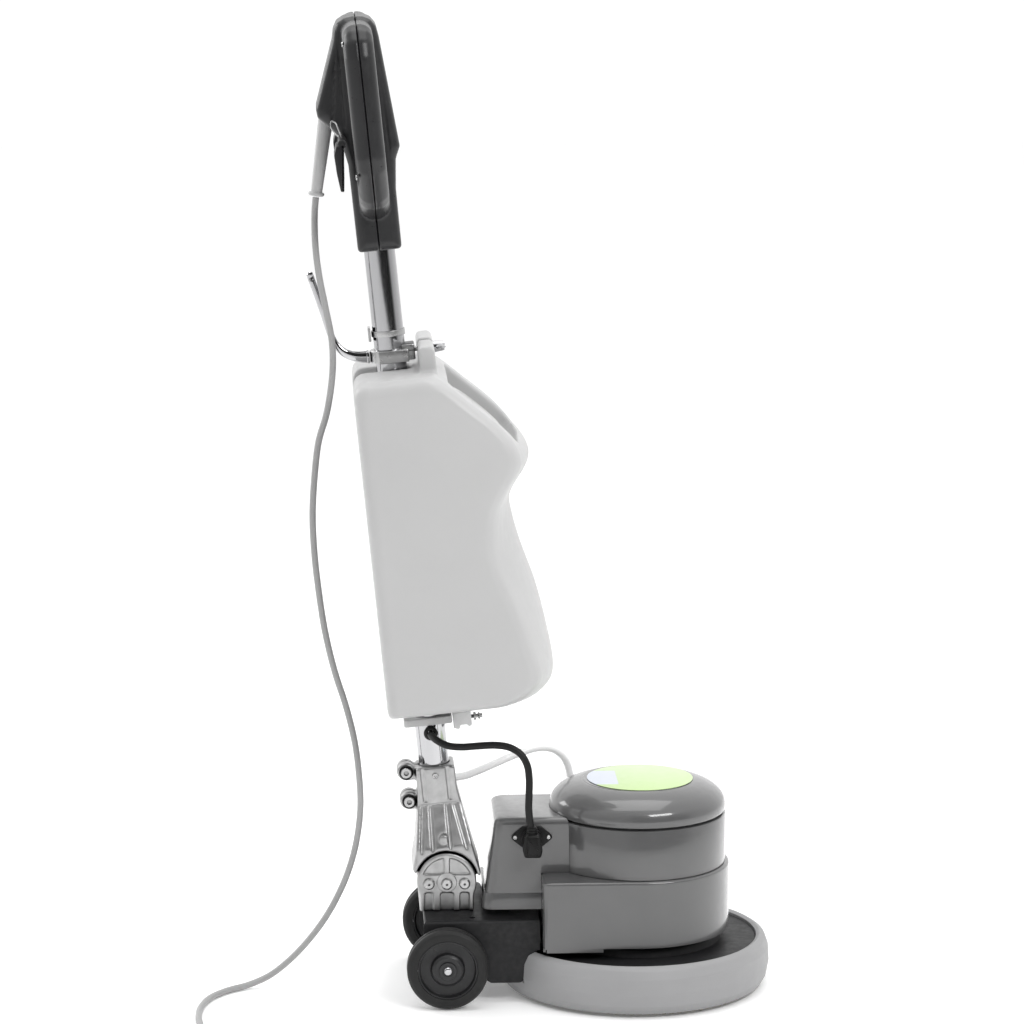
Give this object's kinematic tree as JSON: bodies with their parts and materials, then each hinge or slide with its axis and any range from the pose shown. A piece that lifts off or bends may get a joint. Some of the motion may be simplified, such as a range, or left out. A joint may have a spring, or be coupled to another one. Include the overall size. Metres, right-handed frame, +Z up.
{
  "type": "wet floor scrubber",
  "caption": "Upright single-disc floor scrubber with a tilting handle, a solution tank on the tube, transport wheels, a ringed brush deck and a long mains cord.",
  "frame": {"origin": "on the floor, under the middle of the machine's own box", "axes": "+X to the front, over the brush deck, +Z up; the handle stands at the rear and leans back towards -X"},
  "size_m": [0.715, 0.6977, 1.205],
  "materials": {
    "grey_shell": "gloss",
    "black_paint": "satin",
    "black_plastic": "satin",
    "bumper_rubber": "matte",
    "tank_plastic": "satin",
    "bracket_plastic": "satin",
    "clear_hose": "satin",
    "polished_steel": "polished",
    "cast_aluminium": "polished",
    "machine_steel": "machined",
    "black_rubber": "satin",
    "tyre_rubber": "matte",
    "grey_cord": "satin",
    "copper_winding": "varnished",
    "nylon": "matte",
    "green_label": "satin"
  },
  "bodies": {
    "base": {"deck_disc": "black_paint", "bumper_ring": "bumper_rubber", "gear_case": "cast_aluminium", "output_bearing": "machine_steel", "ring_gear": "machine_steel", "lower_end_bell": "cast_aluminium", "stator_windings": "copper_winding", "upper_end_bell": "cast_aluminium", "belt_housing": "grey_shell", "motor_housing": "grey_shell", "cap_gasket": "black_rubber", "dome_cap": "grey_shell", "cap_label": "green_label", "electrics_box": "grey_shell", "start_capacitor": "black_plastic", "power_inlet": "black_plastic", "lead_plug": "black_plastic", "hose_inlet": "black_plastic", "rear_frame": "black_paint", "wheel_axle": "polished_steel", "hinge_block": "cast_aluminium", "hinge_bolt": "polished_steel", "cord_coil": "grey_cord", "mains_plug": "black_rubber"},
    "brush": {"brush_bristles": "nylon", "brush_block": "black_plastic", "drive_plate": "cast_aluminium", "planet_carrier": "machine_steel"},
    "rotor": {"rotor_shaft": "machine_steel", "rotor_core": "machine_steel"},
    "planet_1": {"planet_gear_1": "nylon"},
    "planet_2": {"planet_gear_2": "nylon"},
    "planet_3": {"planet_gear_3": "nylon"},
    "wheel_left": {"wheel_tyre_left": "tyre_rubber", "wheel_hub_left": "black_plastic"},
    "wheel_right": {"wheel_tyre_right": "tyre_rubber", "wheel_hub_right": "black_plastic"},
    "handle": {"yoke": "cast_aluminium", "pinch_bolt_upper": "polished_steel", "pinch_bolt_lower": "polished_steel", "handle_tube": "polished_steel", "lead_grommet": "black_rubber", "tank_bracket": "bracket_plastic", "drain_lug": "tank_plastic", "solution_tank": "tank_plastic", "tank_clamp": "polished_steel", "clamp_bolt": "polished_steel", "cord_hook": "polished_steel", "head_shell_front": "black_plastic", "head_shell_rear": "black_plastic", "switch_module": "black_plastic", "strain_relief": "grey_cord", "mains_cord": "grey_cord", "motor_lead": "black_rubber", "solution_hose": "clear_hose"},
    "lever_left": {"switch_lever_left": "black_plastic"},
    "lever_right": {"switch_lever_right": "black_plastic"},
    "button": {"lock_button": "black_plastic"},
    "tank_cap": {"filler_cap": "tank_plastic"},
    "nut": {"wing_nut": "polished_steel"}
  },
  "joints": [
    {"name": "handle_tilt", "type": "hinge", "parent": "base", "child": "handle", "pos_m": [-0.12058, 0, 0.142], "axis": [0, -1, 0], "range_deg": [0, 48], "deforming": ["motor_lead", "solution_hose", "mains_cord"]},
    {"name": "brush_spin", "type": "hinge", "parent": "base", "child": "brush", "pos_m": [0.11892, 0, 0.03], "axis": [0, 0, 1], "continuous": true},
    {"name": "rotor_spin", "type": "hinge", "parent": "base", "child": "rotor", "pos_m": [0.11892, 0, 0.15], "axis": [0, 0, 1], "continuous": true},
    {"name": "planet_1_spin", "type": "hinge", "parent": "brush", "child": "planet_1", "pos_m": [0.11892, 0.048, 0.094], "axis": [0, 0, 1], "continuous": true},
    {"name": "planet_2_spin", "type": "hinge", "parent": "brush", "child": "planet_2", "pos_m": [0.07735, -0.024, 0.094], "axis": [0, 0, 1], "continuous": true},
    {"name": "planet_3_spin", "type": "hinge", "parent": "brush", "child": "planet_3", "pos_m": [0.16049, -0.024, 0.094], "axis": [0, 0, 1], "continuous": true},
    {"name": "wheel_left_spin", "type": "hinge", "parent": "base", "child": "wheel_left", "pos_m": [-0.12208, 0.1095, 0.0515], "axis": [0, 1, 0], "continuous": true},
    {"name": "wheel_right_spin", "type": "hinge", "parent": "base", "child": "wheel_right", "pos_m": [-0.12208, -0.1095, 0.0515], "axis": [0, 1, 0], "continuous": true},
    {"name": "lever_left_squeeze", "type": "hinge", "parent": "handle", "child": "lever_left", "pos_m": [-0.2436, 0.084, 1.06233], "axis": [0, -1, 0], "range_deg": [0, 9], "stiffness_Nm_per_rad": 0.8, "springref_deg": -8.59},
    {"name": "lever_right_squeeze", "type": "hinge", "parent": "handle", "child": "lever_right", "pos_m": [-0.2436, -0.084, 1.06233], "axis": [0, -1, 0], "range_deg": [0, 9], "stiffness_Nm_per_rad": 0.8, "springref_deg": -8.59},
    {"name": "lock_button_press", "type": "slide", "parent": "handle", "child": "button", "axis": [0.977, 0, -0.213], "range_m": [0, 0.004], "stiffness_N_per_m": 400, "springref_m": -0.001},
    {"name": "filler_cap_lift", "type": "slide", "parent": "handle", "child": "tank_cap", "axis": [0.6198, 0, 0.7848], "range_m": [0, 0.04]},
    {"name": "wing_nut_turn", "type": "hinge", "parent": "handle", "child": "nut", "pos_m": [-0.12653, 0, 0.80569], "axis": [0.9951, 0, 0.0993], "continuous": true}
  ],
  "couplings": [
    {"joint": "rotor_spin", "follows": "brush_spin", "ratio": 8},
    {"joint": "planet_1_spin", "follows": "brush_spin", "ratio": -2.3333},
    {"joint": "planet_2_spin", "follows": "brush_spin", "ratio": -2.3333},
    {"joint": "planet_3_spin", "follows": "brush_spin", "ratio": -2.3333}
  ]
}
